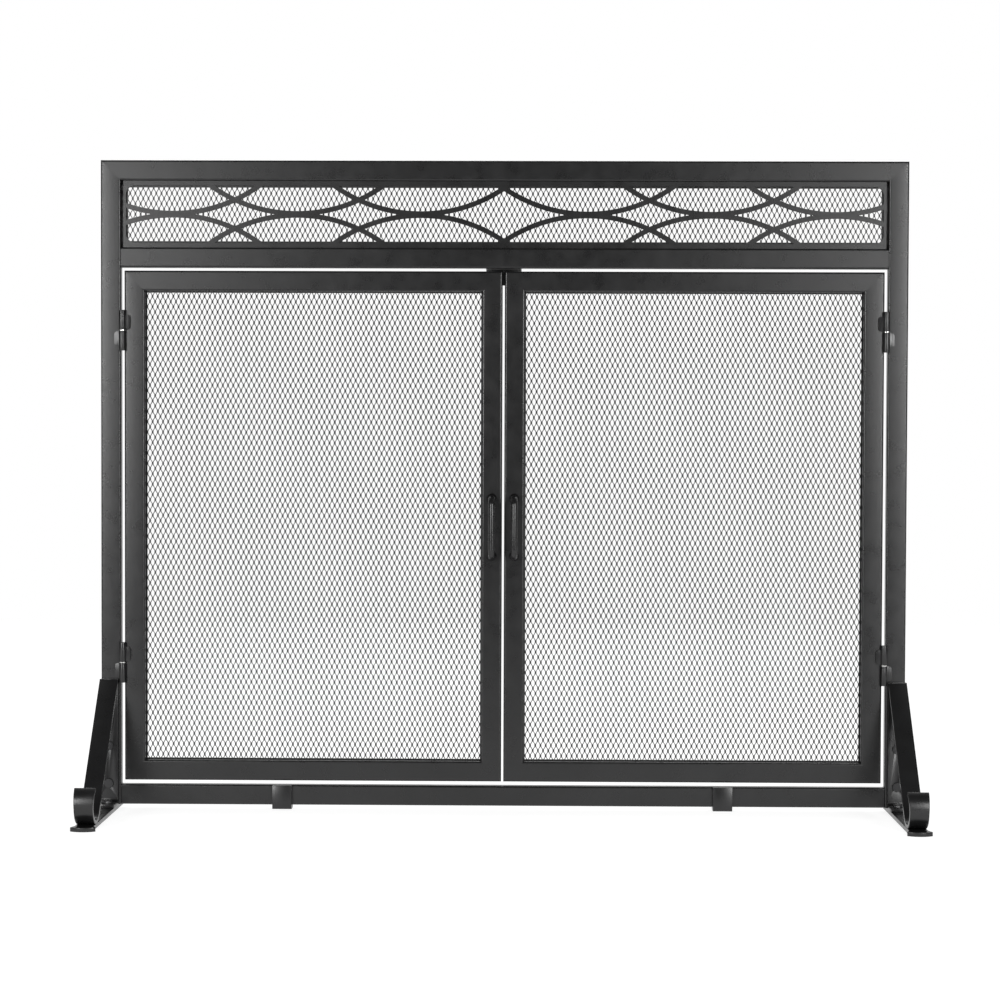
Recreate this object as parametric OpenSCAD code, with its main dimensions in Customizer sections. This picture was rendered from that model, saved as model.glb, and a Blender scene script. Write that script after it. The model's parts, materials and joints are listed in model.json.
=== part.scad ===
// Free-standing fireplace screen: a welded tube frame with a cut arc panel, two mesh doors on
// lift-off hinges, and two braced feet that end in scrolls. X is to the right, the front faces -Y,
// Z is up. The origin is on the floor, at the middle of the footprint.

/* [Frame] */
// Width across the two posts
frame_w = 978; // [800:1:1200]
// Height from the floor to the top of the frame
frame_h = 788; // [650:1:960]
// Face width of the frame's rectangular tube
tube_w = 24.4; // [20:0.1:32]
// Depth of the frame's rectangular tube
tube_d = 12.7; // [12:0.1:20]
// Outside corner radius of the frame and door tubes
tube_r = 2.4; // [1.8:0.1:3]
// Wall thickness of the frame and door tubes
tube_wall = 1.5; // [1:0.1:1.7]
// Height of the window between the top rail and the mid rail
window_h = 81; // [70:1:110]

/* [Arc panel] */
// Thickness of the cut panel
panel_t = 2; // [1.5:0.1:2.5]
// How far the panel's face lies behind the frame's face
panel_recess = 4; // [3:0.1:4.5]
// Gap between each end of the panel and its post
panel_gap = 2.5; // [1:0.1:4]
// Solid border along the panel's top and bottom
panel_border = 6; // [4:0.1:8]
// Solid border at the panel's two ends
panel_end_border = 3.4; // [3:0.1:6]
// Corner radius of the outermost openings
panel_corner_r = 11; // [4:0.5:14]
// Radius of the arcs, to the middle of the band
arc_r = 180; // [165:1:215]
// Width of each arc band
arc_band = 6; // [4:0.1:8]
// How far each arc's middle is from the panel's centreline
arc_lift = 1; // [0:0.1:2]
// Distance between the two arcs next to the middle
arc_middle_pitch = 202; // [160:1:220]
// Distance from the panel's end to the outermost arc's middle
arc_end_inset = 60.5; // [45:0.5:70]

/* [Mesh] */
// Thickness of the plain sheet that has the mesh's mass
mesh_t = 0.4; // [0.3:0.1:1]
// How far the mesh laps onto the back of a door's tubes
mesh_lap = 6.5; // [4:0.1:7]
// Width of the flat bars that hold the mesh
retainer_w = 8; // [5:0.1:9]
// Thickness of the flat bars that hold the mesh
retainer_t = 2; // [1.5:0.1:2.5]

/* [Doors] */
// Face width of the door tubes
door_tube_w = 24.6; // [21:0.1:32]
// Depth of the door tubes
door_tube_d = 10; // [9:0.1:12]
// Gap between a door and its post
side_gap = 4.3; // [3.8:0.1:6]
// Gap between the two doors
middle_gap = 2.6; // [1.5:0.1:5]
// Gap above the doors
top_gap = 3.7; // [3:0.1:6]
// Gap below the doors
bottom_gap = 5.3; // [3:0.1:8]

/* [Hinges] */
// Height of each hinge knuckle
knuckle_h = 24; // [18:0.5:30]
// Outside diameter of the knuckles
knuckle_d = 8; // [7:0.1:8.4]
// Diameter of the hinge pins
pin_d = 4.4; // [3:0.1:5]
// Radial play of a pin in the door's knuckle
pin_play = 0.05; // [0.02:0.01:0.1]
// How far the hinge axis lies in front of the frame's face
hinge_proud = 2.6; // [2.4:0.1:3.4]
// Thickness of the hinge leaves
leaf_t = 2; // [1.5:0.1:2.4]
// Reach of a leaf from the hinge axis
leaf_reach = 9.6; // [8:0.1:14]
// Height of a hinge leaf
leaf_h = 18; // [14:0.5:20]
// Thickness of the washer between the knuckles
washer_t = 1; // [0.6:0.1:2]
// From the door's top to the upper hinge's washer
upper_hinge_drop = 72.5; // [50:0.5:160]
// From the door's bottom to the lower hinge's washer
lower_hinge_rise = 144; // [60:0.5:180]

/* [Handles] */
// Diameter of the handle's bar
handle_d = 8; // [6:0.5:11]
// Overall height of a handle
handle_h = 78; // [60:1:120]
// How far a handle stands out from its door
handle_reach = 27; // [22:0.5:40]
// Radius of the handle's bends, to the middle of the bar
handle_bend_r = 9; // [7:0.5:12]
// Diameter of the handle's foot against the door
handle_foot_d = 12; // [9:0.5:15]
// Diameter of the screws that hold a handle
handle_screw_d = 4; // [3:0.1:4.5]

/* [Catch] */
// Width of the catch plate
catch_w = 43; // [34:0.5:60]
// How far the catch plate hangs below the mid rail
catch_drop = 20; // [16:0.5:24]
// Thickness of the catch plate
catch_t = 1.5; // [1:0.1:2]
// Diameter of the catch magnets
magnet_d = 10; // [8:0.5:11]
// Thickness of the catch magnets
magnet_t = 2.5; // [2:0.1:4]
// Gap between a magnet and the back of a closed door
magnet_gap = 0.4; // [0.3:0.1:1]

/* [Feet] */
// Width of the flat bar that the feet are made of
foot_w = 22.2; // [18:0.1:26]
// Thickness of the flat bar that the feet are made of
foot_t = 4.8; // [4:0.1:6]
// How far the feet stand out past the posts' outer edges
foot_out = 1; // [0:0.1:3]
// How far a foot reaches in front of the frame's face
toe_reach = 166; // [150:1:230]
// How far a foot reaches behind the frame's back
heel_reach = 151.5; // [90:0.5:190]
// Width that the toe flares to, before its front is rounded
toe_w = 33; // [24:0.5:36]
// Length of the toe's flare
toe_flare = 14; // [8:0.5:18]
// Radius of the toe's rounded front
toe_r = 24; // [20:0.5:40]
// Height of the brace's top above the floor
brace_h = 158; // [130:1:200]
// From the frame's face to the middle of the scroll
scroll_reach = 136; // [125:1:150]
// Outside radius of the scroll
scroll_r = 23.5; // [18:0.5:28]
// How far short of the top the scroll's front stops, in degrees
scroll_open = 30; // [10:1:50]
// Length of the upright's turned-out end on the base bar
upright_tail = 32; // [28:0.5:40]
// Diameter of the bolts into the posts
post_bolt_d = 6; // [5:0.5:6.5]
// Heights of the two bolts into each post
post_bolt_z = [31, 77];
// Diameter of the bolt through the base bar
base_bolt_d = 8; // [6:0.5:8.5]
// Radial clearance of a bolt in a plain hole
bolt_clearance = 0.3; // [0.2:0.05:0.5]
// Radial play of a bolt in its thread
thread_play = 0.05; // [0.02:0.01:0.1]

/* [Support straps] */
// Distance from the middle of the frame to each strap
strap_x = 268; // [150:1:340]
// Width of a strap
strap_w = 23.5; // [16:0.5:30]
// Outside radius of a strap's bend
strap_bend_r = 3; // [1:0.1:3.8]

/* [Hidden] */
$fn = 72;
eps = 1;
LEFT = -1;
RIGHT = 1;

post_x = frame_w / 2 - tube_w / 2;
foot_x = frame_w / 2 - foot_w / 2 + foot_out;
face_y = -tube_d / 2;
frame_y = (toe_reach - heel_reach) / 2;
window_w = frame_w - 2 * tube_w;
window_top = frame_h - tube_w;
mid_rail_top = window_top - window_h;
mid_rail_bottom = mid_rail_top - tube_w;
bottom_rail_top = foot_t + tube_w;

door_w = (window_w - 2 * side_gap - middle_gap) / 2;
door_bottom = bottom_rail_top + bottom_gap;
door_top = mid_rail_bottom - top_gap;
door_h = door_top - door_bottom;
door_x = -middle_gap / 2 - door_w;
door_y = face_y + door_tube_d / 2;
door_back_y = face_y + door_tube_d;
door_open_w = door_w - 2 * door_tube_w;
door_open_h = door_h - 2 * door_tube_w;
meeting_x = -middle_gap / 2 - door_tube_w / 2;

hinge_x = door_x - side_gap / 2;
hinge_y = face_y - hinge_proud;
upper_hinge_z = door_top - upper_hinge_drop;
lower_hinge_z = door_bottom + lower_hinge_rise;
knuckle_cap = 2;
leaf_corner_r = 4;
leaf_end_gap = 0.5;
washer_play = 0.1;

panel_w = window_w - 2 * panel_gap;
panel_y = face_y + panel_recess;
panel_mesh_y = panel_y + panel_t;
panel_retainer_y = panel_mesh_y + mesh_t;
panel_mid_z = mid_rail_top + window_h / 2;
arc_first_x = arc_middle_pitch / 2;
arc_last_x = panel_w / 2 - arc_end_inset;
arcs_each_side = 3;

handle_z = (door_top + door_bottom) / 2;
handle_post_z = handle_h / 2 - handle_d / 2;
handle_foot_t = 3;
handle_thread_depth = 12;
screw_head_d = 2 * handle_screw_d;
screw_head_t = 2;

catch_y = door_back_y + magnet_gap + magnet_t;
catch_front_y = face_y + tube_r;
magnet_x = catch_w / 2 - magnet_d / 2 - 3;
magnet_z = mid_rail_bottom - catch_drop + magnet_d / 2 + 1.5;

scroll_z = foot_t + scroll_r - 0.3;
scroll_sink = 0.05;
brace_run = scroll_reach - foot_t;
brace_fall = brace_h - scroll_z;
brace_slope = atan2(brace_fall, brace_run)
    + asin((scroll_r - scroll_sink - foot_t) / norm([brace_run, brace_fall]));
base_bolt_reach = foot_t + 14;
button_head_d = 1.8 * post_bolt_d;
button_head_t = 3.2;
button_rim_t = 1;
hex_head_d = 1.85 * base_bolt_d;
hex_head_t = 5.3;
bolt_end_gap = 0.4;
upright_fillet = 3;
nut_d = 1.85 * post_bolt_d;
nut_t = 5;

coat = [0.13, 0.13, 0.135];
steel = [0.7, 0.7, 0.68];

// ---- placing ----

// Moves frame coordinates, whose Y is 0 at the middle of the tubes, to the footprint's middle.
module in_frame() translate([0, frame_y, 0]) children();

// Everything is drawn on the left side, and mirrored for the right.
module on_side(side) {
    in_frame()
        if (side == LEFT) children();
        else mirror([1, 0, 0]) children();
}

// A cylinder along +Y that starts at y = 0.
module rod_y(d, h) rotate([-90, 0, 0]) cylinder(d = d, h = h);

// ---- tube ----

module rounded_rect(w, h, r) {
    square([w - 2 * r, h], center = true);
    square([w, h - 2 * r], center = true);
    for (x = [-1, 1], y = [-1, 1])
        translate([x * (w / 2 - r), y * (h / 2 - r)]) circle(r = r);
}

module tube_profile(w, d) {
    difference() {
        rounded_rect(w, d, tube_r);
        rounded_rect(w - 2 * tube_wall, d - 2 * tube_wall, tube_r - tube_wall);
    }
}

// Takes a 45 degree wedge off the start of a bar, which leaves its +Z side at full length.
module mitre_wedge(w, d) {
    rotate([90, 0, 0])
        linear_extrude(height = d + 2 * eps, center = true)
            polygon([[-eps, w / 2 + eps], [w + eps, -w / 2 - eps], [-eps, -w / 2 - eps]]);
}

// A tube along +X with its long side up.
module bar(length, w, d, mitre_start, mitre_end) {
    difference() {
        rotate([0, 90, 0]) linear_extrude(height = length) tube_profile(w, d);
        if (mitre_start) mitre_wedge(w, d);
        if (mitre_end) translate([length, 0, 0]) mirror([1, 0, 0]) mitre_wedge(w, d);
    }
}

// ---- frame ----

module post(side) {
    on_side(side)
        difference() {
            translate([-post_x, 0, foot_t])
                rotate([0, -90, 0])
                    bar(frame_h - foot_t, tube_w, tube_d, false, true);
            for (z = post_bolt_z)
                translate([-foot_x, face_y - eps, z])
                    rod_y(post_bolt_d + 2 * bolt_clearance, tube_d / 2 + eps);
        }
}

module left_post() color(coat) post(LEFT);
module right_post() color(coat) post(RIGHT);

module top_rail() {
    color(coat) in_frame()
        translate([-frame_w / 2, 0, frame_h - tube_w / 2])
            bar(frame_w, tube_w, tube_d, true, true);
}

module plain_rail(z) {
    in_frame()
        translate([-window_w / 2, 0, z])
            bar(window_w, tube_w, tube_d, false, false);
}

module mid_rail() color(coat) plain_rail(mid_rail_bottom + tube_w / 2);
module bottom_rail() color(coat) plain_rail(foot_t + tube_w / 2);

// ---- arc panel ----

module arc_ring() {
    difference() {
        circle(r = arc_r + arc_band / 2, $fn = 256);
        circle(r = arc_r - arc_band / 2, $fn = 256);
    }
}

// Each arc dips to the centreline, and its mirror image rises to it.
module arc_bands() {
    for (side = [LEFT, RIGHT], up = [-1, 1], i = [0 : arcs_each_side - 1]) {
        x = arc_first_x + i * (arc_last_x - arc_first_x) / (arcs_each_side - 1);
        translate([side * x, up * (arc_r + arc_lift)]) arc_ring();
    }
}

module panel_openings() {
    difference() {
        rounded_rect(panel_w - 2 * panel_end_border, window_h - 2 * panel_border, panel_corner_r);
        arc_bands();
    }
}

module arc_panel() {
    color(coat) in_frame()
        translate([0, panel_y + panel_t, panel_mid_z])
            rotate([90, 0, 0])
                linear_extrude(height = panel_t)
                    difference() {
                        square([panel_w, window_h], center = true);
                        panel_openings();
                    }
}

module arc_panel_mesh() {
    color(coat) in_frame()
        translate([-window_w / 2, panel_mesh_y, mid_rail_top])
            cube([window_w, mesh_t, window_h]);
}

// Four flat bars round the inside of a w by h outline.
module retainer_bars(w, h) {
    for (z = [0, h - retainer_w])
        translate([0, 0, z]) cube([w, retainer_t, retainer_w]);
    for (x = [0, w - retainer_w])
        translate([x, 0, retainer_w]) cube([retainer_w, retainer_t, h - 2 * retainer_w]);
}

module arc_panel_retainers() {
    color(coat) in_frame()
        translate([-window_w / 2, panel_retainer_y, mid_rail_top])
            retainer_bars(window_w, window_h);
}

// ---- doors ----

module hinge_stile(side) {
    on_side(side)
        translate([door_x + door_tube_w / 2, door_y, door_bottom])
            rotate([0, -90, 0])
                bar(door_h, door_tube_w, door_tube_d, true, true);
}

module meeting_stile(side) {
    on_side(side)
        difference() {
            translate([meeting_x, door_y, door_top])
                rotate([0, 90, 0])
                    bar(door_h, door_tube_w, door_tube_d, true, true);
            handle_screw_places()
                translate([0, -eps, 0])
                    rod_y(handle_screw_d + 2 * bolt_clearance, door_tube_d + 2 * eps);
        }
}

module door_top_rail(side) {
    on_side(side)
        translate([door_x, door_y, door_top - door_tube_w / 2])
            bar(door_w, door_tube_w, door_tube_d, true, true);
}

module door_bottom_rail(side) {
    on_side(side)
        translate([door_x, door_y, door_bottom + door_tube_w / 2])
            mirror([0, 0, 1])
                bar(door_w, door_tube_w, door_tube_d, true, true);
}

// The lower left corner of the mesh, which laps the tubes all round.
module at_door_mesh() {
    translate([door_x + door_tube_w - mesh_lap, door_back_y, door_bottom + door_tube_w - mesh_lap])
        children();
}

module door_mesh(side) {
    on_side(side) at_door_mesh()
        cube([door_open_w + 2 * mesh_lap, mesh_t, door_open_h + 2 * mesh_lap]);
}

module door_retainers(side) {
    on_side(side) at_door_mesh()
        translate([0, mesh_t, 0])
            retainer_bars(door_open_w + 2 * mesh_lap, door_open_h + 2 * mesh_lap);
}

module left_door_hinge_stile() color(coat) hinge_stile(LEFT);
module left_door_meeting_stile() color(coat) meeting_stile(LEFT);
module left_door_top_rail() color(coat) door_top_rail(LEFT);
module left_door_bottom_rail() color(coat) door_bottom_rail(LEFT);
module left_door_mesh() color(coat) door_mesh(LEFT);
module left_door_retainers() color(coat) door_retainers(LEFT);
module right_door_hinge_stile() color(coat) hinge_stile(RIGHT);
module right_door_meeting_stile() color(coat) meeting_stile(RIGHT);
module right_door_top_rail() color(coat) door_top_rail(RIGHT);
module right_door_bottom_rail() color(coat) door_bottom_rail(RIGHT);
module right_door_mesh() color(coat) door_mesh(RIGHT);
module right_door_retainers() color(coat) door_retainers(RIGHT);

// ---- handles ----

// The two places on the door's face where a handle's screws come through.
module handle_screw_places() {
    for (end = [-1, 1])
        translate([meeting_x, face_y, handle_z + end * handle_post_z]) children();
}

// The upper half of a handle, with the bar's middle at the origin and the door at +Y.
module handle_half() {
    bend_z = handle_post_z - handle_bend_r;
    bend_y = handle_reach - handle_d / 2 - handle_bend_r;
    cylinder(d = handle_d, h = bend_z);
    translate([0, handle_bend_r, bend_z])
        rotate([0, -90, 0]) rotate([0, 0, -90])
            rotate_extrude(angle = 90)
                translate([handle_bend_r, 0]) circle(d = handle_d, $fn = 48);
    translate([0, handle_bend_r, handle_post_z]) {
        rod_y(handle_d, bend_y);
        translate([0, bend_y - handle_foot_t, 0])
            rotate([-90, 0, 0])
                cylinder(d1 = handle_d, d2 = handle_foot_d, h = handle_foot_t);
    }
}

module handle(side) {
    on_side(side)
        difference() {
            translate([meeting_x, face_y - handle_reach + handle_d / 2, handle_z])
                for (end = [0, 1]) mirror([0, 0, end]) handle_half();
            handle_screw_places()
                translate([0, -handle_thread_depth, 0])
                    rod_y(handle_screw_d + 2 * thread_play, handle_thread_depth + eps);
        }
}

module handle_screws(side) {
    on_side(side)
        handle_screw_places() {
            translate([0, -handle_thread_depth + 2, 0])
                rod_y(handle_screw_d, door_tube_d + handle_thread_depth - 2);
            translate([0, door_tube_d, 0]) rod_y(screw_head_d, screw_head_t);
        }
}

module left_handle() color(coat) handle(LEFT);
module left_handle_screws() color(steel) handle_screws(LEFT);
module right_handle() color(coat) handle(RIGHT);
module right_handle_screws() color(steel) handle_screws(RIGHT);

// ---- hinges ----

// A leaf that lies on a face behind the axis and reaches to one side of it.
module hinge_leaf(direction) {
    translate([0, hinge_proud, 0])
        rotate([90, 0, 0])
            linear_extrude(height = leaf_t)
                intersection() {
                    rounded_rect(2 * leaf_reach, leaf_h, leaf_corner_r);
                    translate([direction * leaf_reach / 2, 0])
                        square([leaf_reach, leaf_h], center = true);
                }
}

// The door's half: the upper knuckle, closed at the top, with its leaf.
module door_leaf(side, z) {
    on_side(side)
        translate([hinge_x, hinge_y, z + washer_t / 2])
            difference() {
                union() {
                    cylinder(d = knuckle_d, h = knuckle_h);
                    translate([0, 0, leaf_end_gap + leaf_h / 2]) hinge_leaf(1);
                }
                translate([0, 0, -eps])
                    cylinder(d = pin_d + 2 * pin_play, h = knuckle_h - knuckle_cap + eps);
            }
}

// The post's half: the lower knuckle, which holds the pin, with its leaf.
module frame_leaf(side, z) {
    on_side(side)
        translate([hinge_x, hinge_y, z - washer_t / 2 - knuckle_h])
            difference() {
                union() {
                    cylinder(d = knuckle_d, h = knuckle_h);
                    translate([0, 0, knuckle_h - leaf_end_gap - leaf_h / 2]) hinge_leaf(-1);
                }
                translate([0, 0, knuckle_cap])
                    cylinder(d = pin_d, h = knuckle_h);
            }
}

module hinge_pin(side, z) {
    pin_bottom = z - washer_t / 2 - knuckle_h + knuckle_cap;
    pin_top = z + washer_t / 2 + knuckle_h - knuckle_cap - 1;
    on_side(side)
        translate([hinge_x, hinge_y, pin_bottom])
            cylinder(d = pin_d, h = pin_top - pin_bottom);
}

module hinge_washer(side, z) {
    on_side(side)
        translate([hinge_x, hinge_y, z - washer_t / 2])
            difference() {
                cylinder(d = knuckle_d, h = washer_t);
                translate([0, 0, -eps])
                    cylinder(d = pin_d + 2 * washer_play, h = washer_t + 2 * eps);
            }
}

module left_upper_hinge_door_leaf() color(coat) door_leaf(LEFT, upper_hinge_z);
module left_upper_hinge_frame_leaf() color(coat) frame_leaf(LEFT, upper_hinge_z);
module left_upper_hinge_pin() color(steel) hinge_pin(LEFT, upper_hinge_z);
module left_upper_hinge_washer() color(steel) hinge_washer(LEFT, upper_hinge_z);
module left_lower_hinge_door_leaf() color(coat) door_leaf(LEFT, lower_hinge_z);
module left_lower_hinge_frame_leaf() color(coat) frame_leaf(LEFT, lower_hinge_z);
module left_lower_hinge_pin() color(steel) hinge_pin(LEFT, lower_hinge_z);
module left_lower_hinge_washer() color(steel) hinge_washer(LEFT, lower_hinge_z);
module right_upper_hinge_door_leaf() color(coat) door_leaf(RIGHT, upper_hinge_z);
module right_upper_hinge_frame_leaf() color(coat) frame_leaf(RIGHT, upper_hinge_z);
module right_upper_hinge_pin() color(steel) hinge_pin(RIGHT, upper_hinge_z);
module right_upper_hinge_washer() color(steel) hinge_washer(RIGHT, upper_hinge_z);
module right_lower_hinge_door_leaf() color(coat) door_leaf(RIGHT, lower_hinge_z);
module right_lower_hinge_frame_leaf() color(coat) frame_leaf(RIGHT, lower_hinge_z);
module right_lower_hinge_pin() color(steel) hinge_pin(RIGHT, lower_hinge_z);
module right_lower_hinge_washer() color(steel) hinge_washer(RIGHT, lower_hinge_z);

// ---- catch ----

// An angle under the mid rail, whose leg hangs behind the closed doors.
module catch_bracket() {
    color(coat) in_frame()
        translate([-catch_w / 2, 0, mid_rail_bottom]) {
            translate([0, catch_front_y, -catch_t])
                cube([catch_w, catch_y + catch_t - catch_front_y, catch_t]);
            translate([0, catch_y, -catch_drop])
                cube([catch_w, catch_t, catch_drop - catch_t]);
        }
}

module catch_magnets() {
    color(steel) in_frame()
        for (side = [LEFT, RIGHT])
            translate([side * magnet_x, door_back_y + magnet_gap, magnet_z])
                rod_y(magnet_d, magnet_t);
}

// ---- feet ----

// Turns a side outline, drawn with X forward from the post's face and Y up, into a bar w wide.
module side_bar(w, x) {
    translate([x, face_y, 0])
        rotate([90, 0, -90])
            linear_extrude(height = w, center = true) children();
}

module post_bolt_places() {
    for (z = post_bolt_z) translate([-foot_x, face_y, z]) children();
}

module toe_outline() {
    intersection() {
        polygon([
            [-toe_w / 2, 0], [toe_w / 2, 0],
            [foot_w / 2, toe_flare], [foot_w / 2, toe_flare + eps],
            [-foot_w / 2, toe_flare + eps], [-foot_w / 2, toe_flare]
        ]);
        translate([0, toe_r]) circle(r = toe_r);
    }
}

module foot_base(side) {
    on_side(side)
        difference() {
            translate([-foot_x, face_y - toe_reach, 0])
                linear_extrude(height = foot_t) {
                    toe_outline();
                    translate([-foot_w / 2, toe_flare])
                        square([foot_w, toe_reach - toe_flare + tube_d + heel_reach]);
                }
            translate([-foot_x, face_y - base_bolt_reach, -eps])
                cylinder(d = base_bolt_d + 2 * thread_play, h = foot_t + 2 * eps);
        }
}

// An angle bent from the bar: up the post's face, and forward along the base bar.
module upright_outline() {
    difference() {
        translate([0, foot_t]) square([foot_t + upright_fillet, foot_t + upright_fillet]);
        translate([foot_t + upright_fillet, 2 * foot_t + upright_fillet])
            circle(r = upright_fillet);
    }
    translate([0, foot_t]) square([upright_tail, foot_t]);
    translate([0, foot_t]) square([foot_t, brace_h - foot_t]);
}

module foot_upright(side) {
    on_side(side)
        difference() {
            side_bar(foot_w, -foot_x) upright_outline();
            post_bolt_places()
                translate([0, -foot_t - eps, 0])
                    rod_y(post_bolt_d + 2 * bolt_clearance, foot_t + 2 * eps);
            translate([-foot_x, face_y - base_bolt_reach, foot_t - eps])
                cylinder(d = base_bolt_d + 2 * bolt_clearance, h = foot_t + 2 * eps);
        }
}

// The straight stretch runs into the back of the scroll, which turns under and up the front.
module brace_outline() {
    away = [sin(brace_slope), cos(brace_slope)];
    middle = [scroll_reach, scroll_z];
    top = [foot_t, brace_h];
    difference() {
        union() {
            translate(middle) circle(r = scroll_r, $fn = 128);
            polygon([
                top, middle, middle - (scroll_r - scroll_sink) * away,
                [foot_t, brace_h - foot_t / cos(brace_slope)]
            ]);
        }
        translate(middle) circle(r = scroll_r - foot_t, $fn = 128);
        polygon([
            top, middle - (scroll_r - scroll_sink - foot_t) * away,
            middle, middle + brace_h * [sin(scroll_open), cos(scroll_open)]
        ]);
    }
}

module foot_brace(side) {
    on_side(side)
        side_bar(foot_w, -foot_x)
            difference() {
                brace_outline();
                square([scroll_reach + scroll_r, foot_t]);
            }
}

module foot_bolts(side) {
    on_side(side) {
        post_bolt_places() {
            translate([0, -foot_t, 0])
                rod_y(post_bolt_d, foot_t + tube_wall + nut_t + 1);
            translate([0, -foot_t - button_rim_t, 0]) rod_y(button_head_d, button_rim_t);
            translate([0, -foot_t - button_rim_t, 0])
                rotate([90, 0, 0])
                    cylinder(d1 = button_head_d, d2 = 0.55 * button_head_d,
                             h = button_head_t - button_rim_t);
        }
        translate([-foot_x, face_y - base_bolt_reach, 2 * foot_t]) {
            cylinder(d = hex_head_d, h = hex_head_t, $fn = 6);
            translate([0, 0, -2 * foot_t + bolt_end_gap])
                cylinder(d = base_bolt_d, h = 2 * foot_t - bolt_end_gap);
        }
    }
}

// Nuts welded behind the post's front wall.
module foot_nuts(side) {
    on_side(side)
        post_bolt_places()
            translate([0, tube_wall, 0])
                difference() {
                    rotate([-90, 0, 0]) cylinder(d = nut_d, h = nut_t, $fn = 6);
                    translate([0, -eps, 0])
                        rod_y(post_bolt_d + 2 * thread_play, nut_t + 2 * eps);
                }
}

module left_foot_base() color(coat) foot_base(LEFT);
module left_foot_upright() color(coat) foot_upright(LEFT);
module left_foot_brace() color(coat) foot_brace(LEFT);
module left_foot_bolts() color(coat) foot_bolts(LEFT);
module left_foot_nuts() color(steel) foot_nuts(LEFT);
module right_foot_base() color(coat) foot_base(RIGHT);
module right_foot_upright() color(coat) foot_upright(RIGHT);
module right_foot_brace() color(coat) foot_brace(RIGHT);
module right_foot_bolts() color(coat) foot_bolts(RIGHT);
module right_foot_nuts() color(steel) foot_nuts(RIGHT);

// ---- support straps ----

// Down the bottom rail's face and back under it, with a rounded bend.
module strap_outline() {
    translate([-tube_d, 0]) square([tube_d + foot_t - strap_bend_r, foot_t]);
    translate([0, strap_bend_r]) square([foot_t, bottom_rail_top - strap_bend_r]);
    translate([foot_t - strap_bend_r, strap_bend_r]) circle(r = strap_bend_r);
}

module support_strap(side) on_side(side) side_bar(strap_w, -strap_x) strap_outline();

module left_support_strap() color(coat) support_strap(LEFT);
module right_support_strap() color(coat) support_strap(RIGHT);

// ---- parts ----

left_post();
right_post();
top_rail();
mid_rail();
bottom_rail();
arc_panel();
arc_panel_mesh();
arc_panel_retainers();
left_door_hinge_stile();
left_door_meeting_stile();
left_door_top_rail();
left_door_bottom_rail();
left_door_mesh();
left_door_retainers();
left_handle();
left_handle_screws();
right_door_hinge_stile();
right_door_meeting_stile();
right_door_top_rail();
right_door_bottom_rail();
right_door_mesh();
right_door_retainers();
right_handle();
right_handle_screws();
left_upper_hinge_door_leaf();
left_upper_hinge_frame_leaf();
left_upper_hinge_pin();
left_upper_hinge_washer();
left_lower_hinge_door_leaf();
left_lower_hinge_frame_leaf();
left_lower_hinge_pin();
left_lower_hinge_washer();
right_upper_hinge_door_leaf();
right_upper_hinge_frame_leaf();
right_upper_hinge_pin();
right_upper_hinge_washer();
right_lower_hinge_door_leaf();
right_lower_hinge_frame_leaf();
right_lower_hinge_pin();
right_lower_hinge_washer();
catch_bracket();
catch_magnets();
left_foot_base();
left_foot_upright();
left_foot_brace();
left_foot_bolts();
left_foot_nuts();
right_foot_base();
right_foot_upright();
right_foot_brace();
right_foot_bolts();
right_foot_nuts();
left_support_strap();
right_support_strap();
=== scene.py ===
"""A free-standing fireplace screen: black coated tube, cut arc panel, expanded-metal doors."""
import json
import math

import bpy
from mathutils import Matrix, Vector

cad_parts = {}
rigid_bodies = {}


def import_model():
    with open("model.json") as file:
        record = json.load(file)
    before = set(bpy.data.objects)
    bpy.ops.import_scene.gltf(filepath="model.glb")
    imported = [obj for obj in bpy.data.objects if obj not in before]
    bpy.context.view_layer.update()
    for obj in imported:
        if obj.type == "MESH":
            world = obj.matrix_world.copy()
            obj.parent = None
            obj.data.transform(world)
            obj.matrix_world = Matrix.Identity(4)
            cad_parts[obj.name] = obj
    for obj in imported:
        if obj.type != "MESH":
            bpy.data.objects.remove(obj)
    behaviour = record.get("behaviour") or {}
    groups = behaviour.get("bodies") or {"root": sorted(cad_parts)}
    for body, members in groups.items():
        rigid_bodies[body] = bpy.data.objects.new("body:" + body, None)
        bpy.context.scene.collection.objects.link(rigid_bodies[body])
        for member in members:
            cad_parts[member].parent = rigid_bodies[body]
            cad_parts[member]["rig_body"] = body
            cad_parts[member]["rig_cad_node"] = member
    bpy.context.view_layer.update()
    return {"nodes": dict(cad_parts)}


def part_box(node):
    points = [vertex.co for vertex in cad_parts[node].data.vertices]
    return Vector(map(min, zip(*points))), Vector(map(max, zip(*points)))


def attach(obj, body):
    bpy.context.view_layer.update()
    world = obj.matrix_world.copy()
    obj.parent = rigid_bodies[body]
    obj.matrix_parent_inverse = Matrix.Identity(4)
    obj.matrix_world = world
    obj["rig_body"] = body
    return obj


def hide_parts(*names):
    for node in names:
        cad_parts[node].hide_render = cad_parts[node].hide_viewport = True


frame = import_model()
nodes = frame["nodes"]

SIDES = ("left", "right")
# points nearer than this are one point
SAME_POINT = 0.00001


# ---- selecting ----

def deselect():
    if bpy.context.object and bpy.context.object.mode != "OBJECT":
        bpy.ops.object.mode_set(mode="OBJECT")
    bpy.ops.object.select_all(action="DESELECT")


def name_new(name):
    piece = bpy.context.object
    piece.name = name
    piece.data.name = name
    return piece


def only(piece):
    deselect()
    piece.select_set(True)
    bpy.context.view_layer.objects.active = piece


def pick(piece, kind, test):
    """Selects the vertices or faces whose middle passes the test, and goes into edit mode."""
    only(piece)
    mesh = piece.data
    bpy.ops.object.mode_set(mode="EDIT")
    bpy.ops.mesh.select_mode(type=kind)
    bpy.ops.mesh.select_all(action="DESELECT")
    bpy.ops.object.mode_set(mode="OBJECT")
    if kind == "VERT":
        for v in mesh.vertices:
            v.select = bool(test(v.co))
    else:
        for p in mesh.polygons:
            p.select = bool(test(p.center))
    bpy.ops.object.mode_set(mode="EDIT")


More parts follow.
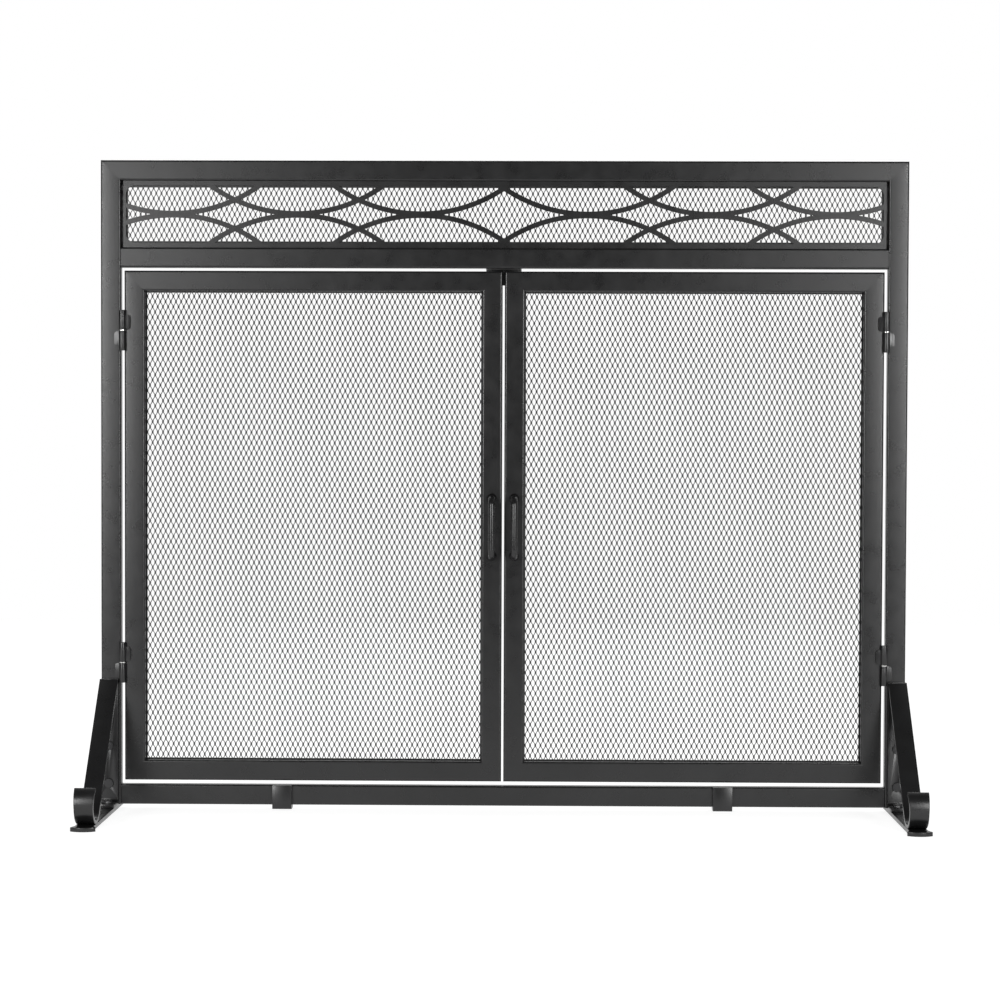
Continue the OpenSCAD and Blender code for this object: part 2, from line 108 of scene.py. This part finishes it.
def object_mode():
    bpy.ops.object.mode_set(mode="OBJECT")


def all_selected():
    bpy.ops.mesh.select_all(action="SELECT")


def settle(piece):
    """Puts the piece's place into its mesh."""
    only(piece)
    bpy.ops.object.transform_apply(location=True, rotation=True, scale=True)


def edit_all(piece):
    """Goes into edit mode with everything selected."""
    only(piece)
    bpy.ops.object.mode_set(mode="EDIT")
    all_selected()


def face_front(piece):
    """Turns a flat sheet's faces to the front."""
    if sum(p.normal.y * p.area for p in piece.data.polygons) > 0:
        edit_all(piece)
        bpy.ops.mesh.flip_normals()
        object_mode()


def apply_modifier(piece, kind, **settings):
    only(piece)
    modifier = piece.modifiers.new(kind.title(), kind)
    for key, value in settings.items():
        setattr(modifier, key, value)
    bpy.ops.object.modifier_apply(modifier=modifier.name)


def soften_edges(piece, width, angle=40, segments=2):
    apply_modifier(piece, "BEVEL", width=width, segments=segments, limit_method="ANGLE",
                   angle_limit=math.radians(angle), harden_normals=False)


def smooth(piece, angle=35):
    only(piece)
    bpy.ops.object.shade_smooth_by_angle(angle=math.radians(angle))


def outward(piece):
    """Merges the doubles and turns the faces outwards."""
    edit_all(piece)
    bpy.ops.mesh.remove_doubles(threshold=SAME_POINT)
    bpy.ops.mesh.normals_make_consistent(inside=False)
    object_mode()


def copied(piece, name, move=(0, 0, 0), mirrored=False):
    """A copy with its own mesh, moved, or mirrored from the left side to the right."""
    only(piece)
    bpy.ops.object.duplicate(linked=False)
    twin = name_new(name)
    if mirrored:
        bpy.ops.transform.resize(value=(-1, 1, 1), center_override=(0, 0, 0))
    else:
        bpy.ops.transform.translate(value=move)
    settle(twin)
    if mirrored:
        outward(twin)
    return twin


# ---- finishes ----

def new_material(name, colour, metallic=0.0, roughness=0.4):
    material = bpy.data.materials.new(name)
    material.use_nodes = True
    tree = material.node_tree
    shader = tree.nodes["Principled BSDF"]
    shader.inputs["Base Color"].default_value = (*colour, 1)
    shader.inputs["Metallic"].default_value = metallic
    shader.inputs["Roughness"].default_value = roughness
    place = tree.nodes.new("ShaderNodeTexCoord")
    return material, tree, shader, place


def link(tree, a, b):
    """Joins one node's output to another's input."""
    tree.links.new(a, b)


def noise(tree, place, scale, detail=2.0, stretch=(1, 1, 1)):
    """Noise that is fixed to the piece."""
    mapping = tree.nodes.new("ShaderNodeMapping")
    mapping.inputs["Scale"].default_value = stretch
    link(tree, place.outputs["Object"], mapping.inputs["Vector"])
    texture = tree.nodes.new("ShaderNodeTexNoise")
    texture.inputs["Scale"].default_value = scale
    texture.inputs["Detail"].default_value = detail
    link(tree, mapping.outputs["Vector"], texture.inputs["Vector"])
    return texture.outputs["Fac"]


def span(tree, value, low, high, from_low=0.3, from_high=0.7):
    """Spreads a value between low and high."""
    ranged = tree.nodes.new("ShaderNodeMapRange")
    ranged.inputs["From Min"].default_value = from_low
    ranged.inputs["From Max"].default_value = from_high
    ranged.inputs["To Min"].default_value = low
    ranged.inputs["To Max"].default_value = high
    link(tree, value, ranged.inputs["Value"])
    return ranged.outputs["Result"]


def blend_colour(tree, shader, value, one, two):
    ramp = tree.nodes.new("ShaderNodeValToRGB")
    ramp.color_ramp.elements[0].color = (*one, 1)
    ramp.color_ramp.elements[0].position = 0.35
    ramp.color_ramp.elements[1].color = (*two, 1)
    ramp.color_ramp.elements[1].position = 0.65
    link(tree, value, ramp.inputs["Fac"])
    link(tree, ramp.outputs["Color"], shader.inputs["Base Color"])


def bump(tree, height, distance, strength=1.0, under=None):
    node = tree.nodes.new("ShaderNodeBump")
    node.inputs["Strength"].default_value = strength
    node.inputs["Distance"].default_value = distance
    link(tree, height, node.inputs["Height"])
    if under is not None:
        link(tree, under, node.inputs["Normal"])
    return node.outputs["Normal"]


def crown(tree, place, axis, middle, radius):
    """The faint belly of a drawn tube's wide face, as a height across it."""
    parts = tree.nodes.new("ShaderNodeSeparateXYZ")
    link(tree, place.outputs["Object"], parts.inputs["Vector"])
    away = tree.nodes.new("ShaderNodeMath")
    away.operation = "SUBTRACT"
    away.inputs[1].default_value = middle
    link(tree, parts.outputs[axis], away.inputs[0])
    square = tree.nodes.new("ShaderNodeMath")
    square.operation = "MULTIPLY"
    link(tree, away.outputs[0], square.inputs[0])
    link(tree, away.outputs[0], square.inputs[1])
    fall = tree.nodes.new("ShaderNodeMath")
    fall.operation = "MULTIPLY"
    fall.inputs[1].default_value = -0.5 / radius
    link(tree, square.outputs[0], fall.inputs[0])
    return bump(tree, fall.outputs[0], 1.0)


def powder_coat(name, dark=(0.0045, 0.0045, 0.0047), light=(0.0075, 0.0075, 0.0078), roughness=0.29,
                peel=0.00006, belly=None):
    """Satin black powder coat: cloudy tone and gloss, orange peel, and a fine grain."""
    material, tree, shader, place = new_material(name, dark)
    blend_colour(tree, shader, noise(tree, place, 14, 4), dark, light)
    rough = span(tree, noise(tree, place, 55, 3), roughness - 0.035, roughness + 0.045)
    link(tree, rough, shader.inputs["Roughness"])
    under = crown(tree, place, *belly) if belly else None
    skin = bump(tree, noise(tree, place, 620, 1.5), peel, 0.55, under)
    fine = bump(tree, noise(tree, place, 2600, 1.0), peel * 0.25, 0.5, skin)
    link(tree, fine, shader.inputs["Normal"])
    return material


def turned_metal(name, colour, roughness=0.22, scale=900, stretch=(1, 1, 8)):
    """Bare or plated metal with fine turning marks and dull patches."""
    material, tree, shader, place = new_material(name, colour, 1.0, roughness)
    grain = noise(tree, place, scale, 3, stretch)
    link(tree, span(tree, grain, roughness - 0.07, roughness + 0.12), shader.inputs["Roughness"])
    dull = tuple(c * 0.8 for c in colour)
    blend_colour(tree, shader, noise(tree, place, 160, 3), dull, colour)
    link(tree, bump(tree, grain, 0.00003, 0.5), shader.inputs["Normal"])
    return material


def give(piece, material):
    piece.data.materials.clear()
    piece.data.materials.append(material)


# ---- sizes that come from the frame ----

face_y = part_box("left_post")[0].y
foot_low, foot_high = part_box("left_foot_base")
up_low, up_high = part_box("left_foot_upright")
brace_low, brace_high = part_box("left_foot_brace")
FOOT_W = up_high.x - up_low.x
FOOT_T = foot_high.z - foot_low.z
FOOT_X = (up_high.x + up_low.x) / 2


# ---- expanded metal ----

# pitch of the openings, and the size of an uncut bond between them
DIAMOND_W = 0.00635
DIAMOND_H = 0.0127
BOND_W = 0.00225
BOND_H = 0.003
# how far the bonds lean, and the flat border that is clamped
BOND_LEAN = 0.00025
CLAMPED = 0.009


def expanded_metal(name, low, high, tilt_low, tilt_high, tilt):
    """Slit and stretched sheet: one bond with its two strands, repeated, trimmed and thickened."""
    middle = (low + high) / 2
    across = math.ceil((high.x - low.x) / DIAMOND_W) + 3
    up = math.ceil((high.z - low.z) / DIAMOND_H) + 2
    deselect()
    bpy.ops.mesh.primitive_grid_add(x_subdivisions=2, y_subdivisions=1, size=1.0,
                                    location=(0, 0, 0), rotation=(math.radians(90), 0, 0))
    piece = name_new(name)
    piece.scale = (BOND_W, BOND_H, 1)
    settle(piece)
    for side in (-1, 1):
        pick(piece, "VERT", lambda co: abs(co.z - BOND_H / 2) < SAME_POINT
             and -SAME_POINT < side * co.x < BOND_W / 2 + SAME_POINT)
        bpy.ops.mesh.extrude_region_move(TRANSFORM_OT_translate={
            "value": (side * (DIAMOND_W - BOND_W) / 2, 0, DIAMOND_H / 2 - BOND_H)})
        object_mode()
    for count, step in ((2, (DIAMOND_W / 2, 0, DIAMOND_H / 2)), (across, (DIAMOND_W, 0, 0)),
                        (up, (0, 0, DIAMOND_H))):
        apply_modifier(piece, "ARRAY", count=count, use_relative_offset=False,
                       use_constant_offset=True, constant_offset_displace=step)
    start = middle.z - DIAMOND_H * up / 2
    piece.location = (middle.x - DIAMOND_W * across / 2, low.y, start)
    settle(piece)
    edit_all(piece)
    bpy.ops.mesh.remove_doubles(threshold=SAME_POINT)
    for point, normal in ((low, (-1, 0, 0)), (low, (0, 0, -1)), (high, (1, 0, 0)), (high, (0, 0, 1))):
        all_selected()
        bpy.ops.mesh.bisect(plane_co=point, plane_no=normal, clear_outer=True)
    object_mode()
    # each bond leans a little, as the stretching leaves it
    for edge, step in ((0.25, tilt), (0.75, -tilt)):
        if tilt:
            pick(piece, "VERT", lambda co: tilt_low.x < co.x < tilt_high.x
                 and tilt_low.z < co.z < tilt_high.z
                 and abs((co.z - start) / (DIAMOND_H / 2) % 1 - edge) < 0.2)
            bpy.ops.transform.translate(value=(0, step, 0))
            object_mode()
    face_front(piece)
    apply_modifier(piece, "SOLIDIFY", thickness=high.y - low.y, offset=-1)
    return piece


def make_meshes():
    """The sheets of expanded metal in both doors and in the window."""
    coat = powder_coat("expanded_metal_coat", (0.008, 0.008, 0.0083), (0.013, 0.013, 0.0133),
                       0.42, 0.00004)
    low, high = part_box("left_door_mesh")
    margin = Vector((CLAMPED, 0, CLAMPED))
    left = expanded_metal("left_door_expanded_metal", low, high, low + margin, high - margin,
                          BOND_LEAN)
    right_low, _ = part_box("right_door_mesh")
    right = copied(left, "right_door_expanded_metal", (right_low.x - low.x, 0, 0))
    low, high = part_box("arc_panel_mesh")
    window = expanded_metal("window_expanded_metal", low, high, low, high, 0)
    for piece, body, node in ((left, "left_door", "left_door_mesh"),
                              (right, "right_door", "right_door_mesh"),
                              (window, "frame", "arc_panel_mesh")):
        give(piece, coat)
        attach(piece, body)
        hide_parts(node)


# ---- scroll braces ----

SCROLL_R = 0.0235
# how far short of the top the scroll's front stops
SCROLL_OPEN = math.radians(30)
SCROLL_STEPS = 26
# the rolled end is this much wider than the bar, and narrows over this many steps
ROLLED_SPREAD = 0.125
ROLLED_STEPS = 9

def make_braces(coat):
    """A flat bar: its end face is spun round the scroll, then drawn up to the post."""
    pressed = 0.0003
    middle = Vector((FOOT_X, brace_low.y + SCROLL_R, brace_low.z + SCROLL_R - pressed))
    top_y, top_z = brace_high.y, brace_high.z
    run, fall = top_y - middle.y, top_z - middle.z
    slope = math.atan2(fall, run) + math.asin((SCROLL_R - FOOT_T) / math.hypot(run, fall))
    turn = math.pi + slope - SCROLL_OPEN
    arm = Vector((0, -math.sin(SCROLL_OPEN), math.cos(SCROLL_OPEN))) * (SCROLL_R - FOOT_T / 2)
    deselect()
    bpy.ops.mesh.primitive_plane_add(size=1, location=middle + arm,
                                     rotation=(math.radians(90) + SCROLL_OPEN, 0, 0))
    piece = name_new("left_scroll_brace")
    piece.scale = (FOOT_W, FOOT_T, 1)
    settle(piece)
    edit_all(piece)
    bpy.ops.mesh.spin(steps=SCROLL_STEPS, angle=turn, center=middle, axis=(-1, 0, 0))
    drawn = Vector((0, math.cos(slope), math.sin(slope))) * 0.2
    bpy.ops.mesh.extrude_region_move(TRANSFORM_OT_translate={"value": drawn})
    all_selected()
    bpy.ops.mesh.remove_doubles(threshold=SAME_POINT)
    for point, normal in (((0, top_y, 0), (0, 1, 0)), ((0, 0, brace_low.z), (0, 0, -1))):
        all_selected()
        bpy.ops.mesh.bisect(plane_co=point, plane_no=normal, use_fill=True, clear_outer=True)
    object_mode()
    only(piece)
    bpy.ops.object.mode_set(mode="EDIT")
    bpy.ops.mesh.select_mode(type="EDGE")
    bpy.ops.mesh.select_all(action="DESELECT")
    bpy.ops.mesh.select_non_manifold()
    bpy.ops.mesh.edge_face_add()
    object_mode()
    outward(piece)
    for index in range(ROLLED_STEPS):
        angle = SCROLL_OPEN + turn * index / SCROLL_STEPS
        spread = 1 + ROLLED_SPREAD * (1 - index / ROLLED_STEPS) ** 1.3
        across = Vector((0, -math.sin(angle), math.cos(angle)))
        along = Vector((0, math.cos(angle), math.sin(angle)))

        def on_this_step(co):
            out = (co - middle).dot(across)
            on_scroll = co.z > middle.z - 0.012 or co.y < middle.y
            return (on_scroll and abs((co - middle).dot(along)) < 0.0002
                    and out > 0 and abs(out - SCROLL_R + FOOT_T / 2) < FOOT_T)

        pick(piece, "VERT", on_this_step)
        bpy.ops.transform.resize(value=(spread, 1, 1), center_override=tuple(middle))
        object_mode()
    soften_edges(piece, 0.0006, 45, 3)
    smooth(piece, 40)
    other = copied(piece, "right_scroll_brace", mirrored=True)
    for brace, side in ((piece, "left"), (other, "right")):
        smooth(brace, 40)
        give(brace, coat[side])
        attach(brace, "frame")
        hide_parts(side + "_foot_brace")


# ---- bar pulls ----

def make_pulls(coat):
    """A round bar: its foot ring is drawn out, spun through both bends, and flared again."""
    low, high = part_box("left_handle")
    bar, bend, foot = 0.004, 0.009, 0.006
    # lengths of the flare from the foot to the bar, and the radius at the end of each
    flare = ((0.0008, foot), (0.0009, 0.005), (0.0013, 0.0042), (0.0014, bar))
    flared = sum(length for length, _ in flare)
    x = (low.x + high.x) / 2
    z = (low.z + high.z) / 2
    door = high.y
    arm = (high.z - low.z) / 2 - foot
    deselect()
    bpy.ops.mesh.primitive_circle_add(vertices=28, radius=foot, fill_type="NGON",
                                      location=(x, door, z + arm),
                                      rotation=(math.radians(90), 0, 0))
    piece = name_new("left_bar_pull")
    settle(piece)
    edit_all(piece)

    def draw(dy, size=1.0, dz=0.0):
        bpy.ops.mesh.extrude_region_move(TRANSFORM_OT_translate={"value": (0, dy, dz)})
        if size != 1.0:
            bpy.ops.transform.resize(value=(size, 1, size))

    radius = foot
    for length, wanted in flare:
        draw(-length, wanted / radius)
        radius = wanted
    reach = low.y + bar + bend
    draw(reach - (door - flared))
    bpy.ops.mesh.spin(steps=10, angle=math.pi / 2, center=(x, reach, z + arm - bend),
                      axis=(-1, 0, 0))
    draw(0.0, 1.0, -2 * (arm - bend))
    bpy.ops.mesh.spin(steps=10, angle=math.pi / 2, center=(x, reach, z - arm + bend),
                      axis=(-1, 0, 0))
    draw(door - flared - reach)
    widths = [foot] + [wanted for _, wanted in flare]
    for (length, narrow), wide in reversed(list(zip(flare, widths))):
        draw(length, wide / narrow)
    object_mode()
    outward(piece)
    smooth(piece, 50)
    other = copied(piece, "right_bar_pull", mirrored=True)
    for pull, side in ((piece, "left"), (other, "right")):
        smooth(pull, 50)
        give(pull, coat)
        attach(pull, side + "_door")
        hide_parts(side + "_handle")


# ---- bars and plates with eased edges ----

def eased(node, width, material, body="frame", angle=40, segments=2):
    """The same bar or plate with the sharp edges taken off."""
    only(nodes[node])
    bpy.ops.object.duplicate(linked=False)
    piece = name_new(node + "_eased")
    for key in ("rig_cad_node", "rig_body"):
        if key in piece:
            del piece[key]
    piece.parent = None
    edit_all(piece)
    bpy.ops.mesh.remove_doubles(threshold=0.00002)
    bpy.ops.mesh.dissolve_limited(angle_limit=math.radians(1.0))
    bpy.ops.mesh.customdata_custom_splitnormals_clear()
    object_mode()
    soften_edges(piece, width, angle, segments)
    smooth(piece, 35)
    give(piece, material)
    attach(piece, body)
    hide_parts(node)
    return piece


# ---- bolts ----

# heights of the bolts into the post, and where the bolt through the base bar stands
POST_BOLT_Z = (0.031, 0.077)
BASE_BOLT_REACH = 0.0188
WASHER_FACE = 0.0006

def button_bolt(name, at, radius, height):
    """A domed head with a round socket."""
    deselect()
    bpy.ops.mesh.primitive_cylinder_add(vertices=36, radius=radius, depth=height,
                                        location=(0, 0, height / 2))
    piece = name_new(name)
    pick(piece, "FACE", lambda co: co.z > height - 0.0001)
    bpy.ops.mesh.bevel(offset=height * 0.72, segments=6, profile=0.5, affect="EDGES",
                       clamp_overlap=True)
    object_mode()
    pick(piece, "FACE", lambda co: co.z > height - 0.0001)
    bpy.ops.mesh.inset(thickness=radius * 0.12)
    bpy.ops.mesh.extrude_region_move(TRANSFORM_OT_translate={"value": (0, 0, -height * 0.45)})
    bpy.ops.transform.resize(value=(0.8, 0.8, 1))
    object_mode()
    piece.rotation_euler = (math.radians(90), 0, 0)
    piece.location = at
    settle(piece)
    smooth(piece, 40)
    return piece


def hex_bolt(name, at, radius, height):
    """A hex head with chamfered corners on a washer face."""
    deselect()
    bpy.ops.mesh.primitive_cylinder_add(vertices=6, radius=radius, depth=height - WASHER_FACE,
                                        location=(0, 0, (height + WASHER_FACE) / 2))
    piece = name_new(name)
    soften_edges(piece, 0.0005, 40, 2)
    pick(piece, "FACE", lambda co: co.z > height - 0.0001)
    bpy.ops.mesh.inset(thickness=0.0012)
    object_mode()
    deselect()
    bpy.ops.mesh.primitive_cylinder_add(vertices=36, radius=radius * 0.84, depth=WASHER_FACE,
                                        location=(0, 0, WASHER_FACE / 2))
    ring = bpy.context.object
    soften_edges(ring, 0.0001, 40, 1)
    only(piece)
    ring.select_set(True)
    bpy.ops.object.join()
    piece.location = at
    settle(piece)
    smooth(piece, 30)
    return piece


def make_bolts(coat):
    """Each foot's three bolt heads, as one piece."""
    front = face_y - FOOT_T
    made = [button_bolt("bolt", (FOOT_X, front, z), 0.0054, 0.0032) for z in POST_BOLT_Z]
    made.append(hex_bolt("bolt", (FOOT_X, face_y - BASE_BOLT_REACH, 2 * FOOT_T), 0.0074, 0.0053))
    only(made[0])
    for piece in made:
        piece.select_set(True)
    bpy.context.view_layer.objects.active = made[0]
    bpy.ops.object.join()
    left = name_new("left_bolt_heads")
    settle(left)
    right = copied(left, "right_bolt_heads", mirrored=True)
    for piece, side in ((left, "left"), (right, "right")):
        smooth(piece, 35)
        give(piece, coat)
        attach(piece, "frame")
        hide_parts(side + "_foot_bolts")


# ---- tubes ----

# radius of the faint belly across a tube's face
UPRIGHT_BELLY = 0.26
RAIL_BELLY = 2.0


def coat_tube(node, axis, radius):
    """A coat whose belly is centred on the tube's own face."""
    low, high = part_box(node)
    middle = (low + high) / 2
    centre = middle.x if axis == "X" else middle.z
    give(nodes[node], powder_coat(node + "_coat", belly=(axis, centre, radius)))


# ---- the pieces ----

make_meshes()

foot_finish = powder_coat("foot_powder_coat", roughness=0.3)
# the scroll's bar is dished a little
scroll_finish = {side: powder_coat(side + "_scroll_powder_coat", roughness=0.29,
                                   belly=("X", FOOT_X * sign, -0.13))
                 for side, sign in (("left", 1), ("right", -1))}
pull_finish = powder_coat("pull_powder_coat", roughness=0.27, peel=0.00003)
bolt_finish = powder_coat("bolt_black_oxide", (0.01, 0.01, 0.011), (0.018, 0.018, 0.019), 0.3, 0.00002)
hinge_finish = powder_coat("hinge_powder_coat", roughness=0.3, peel=0.00003)
panel_finish = powder_coat("panel_powder_coat", roughness=0.3)
make_braces(scroll_finish)
make_pulls(pull_finish)
make_bolts(bolt_finish)
for side in SIDES:
    eased(side + "_foot_base", 0.0015, foot_finish, segments=3)
    eased(side + "_foot_upright", 0.0005, foot_finish)
    eased(side + "_support_strap", 0.0005, foot_finish)
    eased(side + "_door_retainers", 0.0003, foot_finish, side + "_door")
eased("arc_panel", 0.00025, panel_finish, segments=1)
eased("arc_panel_retainers", 0.0003, panel_finish)
eased("catch_bracket", 0.0003, hinge_finish)

for side in SIDES:
    for member in ("post", "door_hinge_stile", "door_meeting_stile"):
        coat_tube(side + "_" + member, "X", UPRIGHT_BELLY)
    for member in ("door_top_rail", "door_bottom_rail"):
        coat_tube(side + "_" + member, "Z", RAIL_BELLY)
for node in ("top_rail", "mid_rail", "bottom_rail"):
    coat_tube(node, "Z", RAIL_BELLY)

steel = turned_metal("turned_steel", (0.55, 0.55, 0.56), 0.25)
bright = turned_metal("bright_washer", (0.78, 0.78, 0.76), 0.2)
zinc = turned_metal("zinc_plate", (0.5, 0.52, 0.55), 0.3, 400)
nickel = turned_metal("nickel_plate", (0.62, 0.6, 0.56), 0.15, 300)
for name, piece in nodes.items():
    if name.endswith("hinge_pin"):
        give(piece, steel)
    elif name.endswith("washer"):
        give(piece, bright)
    elif name.endswith("screws") or name.endswith("nuts"):
        give(piece, zinc)
    elif name.endswith("magnets"):
        give(piece, nickel)
    elif name.endswith("leaf"):
        body = name.split("_")[0] + "_door" if "door_leaf" in name else "frame"
        eased(name, 0.0009, hinge_finish, body, 50, 3)


# ---- studio ----

def make_floor():
    """A plain pale floor, just under the feet."""
    deselect()
    bpy.ops.mesh.primitive_plane_add(size=1, location=(0, 0.6, -0.0002))
    floor = name_new("floor")
    floor.scale = (9, 4.2, 1)
    settle(floor)
    material, tree, shader, place = new_material("pale_floor", (0.3, 0.3, 0.3), 0, 0.9)
    link(tree, span(tree, noise(tree, place, 3, 2), 0.85, 0.95), shader.inputs["Roughness"])
    shader.inputs["Emission Color"].default_value = (1, 1, 1, 1)
    shader.inputs["Emission Strength"].default_value = 0.86
    shader.inputs["Specular IOR Level"].default_value = 0.0
    give(floor, material)


def softbox(name, at, look, width, height, power):
    """A rectangular area light that the camera doesn't see."""
    light = bpy.data.lights.new(name, "AREA")
    light.shape = "RECTANGLE"
    light.size = width
    light.size_y = height
    light.energy = power
    lamp = bpy.data.objects.new(name, light)
    lamp.visible_camera = False
    bpy.context.scene.collection.objects.link(lamp)
    direction = Vector(look) - Vector(at)
    lamp.matrix_world = Matrix.Translation(at) @ direction.to_track_quat("-Z", "Y").to_matrix().to_4x4()


def make_studio():
    """White behind the object, a dim fill that brightens to the back, and five softboxes."""
    world = bpy.data.worlds.new("studio")
    bpy.context.scene.world = world
    world.use_nodes = True
    tree = world.node_tree
    tree.nodes.clear()
    output = tree.nodes.new("ShaderNodeOutputWorld")
    mix = tree.nodes.new("ShaderNodeMixShader")
    path = tree.nodes.new("ShaderNodeLightPath")
    seen = tree.nodes.new("ShaderNodeBackground")
    seen.inputs["Color"].default_value = (1, 1, 1, 1)
    seen.inputs["Strength"].default_value = 1.0
    fill = tree.nodes.new("ShaderNodeBackground")
    fill.inputs["Color"].default_value = (1, 1, 1, 1)
    around = tree.nodes.new("ShaderNodeTexCoord")
    parts = tree.nodes.new("ShaderNodeSeparateXYZ")
    link(tree, around.outputs["Generated"], parts.inputs["Vector"])
    link(tree, span(tree, parts.outputs["Y"], 0.09, 0.85, -0.1, 0.45), fill.inputs["Strength"])
    link(tree, path.outputs["Is Camera Ray"], mix.inputs[0])
    link(tree, fill.outputs[0], mix.inputs[1])
    link(tree, seen.outputs[0], mix.inputs[2])
    link(tree, mix.outputs[0], output.inputs["Surface"])
    for side in (-1, 1):
        softbox("softbox", (side * 1.5, -2.2, 0.86), (side * 0.3, 0, 0.5), 0.56, 1.15, 38)
        softbox("softbox_edge", (side * 0.84, -2.4, 0.86), (side * 0.3, 0, 0.5), 0.46, 1.15, 3.2)
    softbox("softbox_back", (0, 1.7, 2.0), (0, 0, 0.1), 2.4, 0.9, 22)
    bpy.context.scene.view_settings.view_transform = "Standard"
    bpy.context.scene.view_settings.look = "None"


def make_camera():
    """Nearly straight on and level, a little to the right of the frame's middle."""
    x, z, back = 0.0278, 0.4484, 2.630
    yaw, pitch, roll = math.radians(-0.686), math.radians(1.540), math.radians(0.194)
    forward = Vector((math.sin(yaw) * math.cos(pitch), math.cos(yaw) * math.cos(pitch), -math.sin(pitch)))
    level = Vector((math.cos(yaw), -math.sin(yaw), 0))
    rise = level.cross(forward)
    right = math.cos(roll) * level + math.sin(roll) * rise
    up = -math.sin(roll) * level + math.cos(roll) * rise
    camera = bpy.data.cameras.new("camera")
    camera.sensor_width = 36
    camera.lens = 36 * 2.1685
    camera.clip_start = 0.05
    holder = bpy.data.objects.new("camera", camera)
    bpy.context.scene.collection.objects.link(holder)
    turn = Matrix((right, up, -forward)).transposed().to_4x4()
    holder.matrix_world = Matrix.Translation((x, face_y - back, z)) @ turn
    bpy.context.scene.camera = holder


make_floor()
make_studio()
make_camera()
deselect()
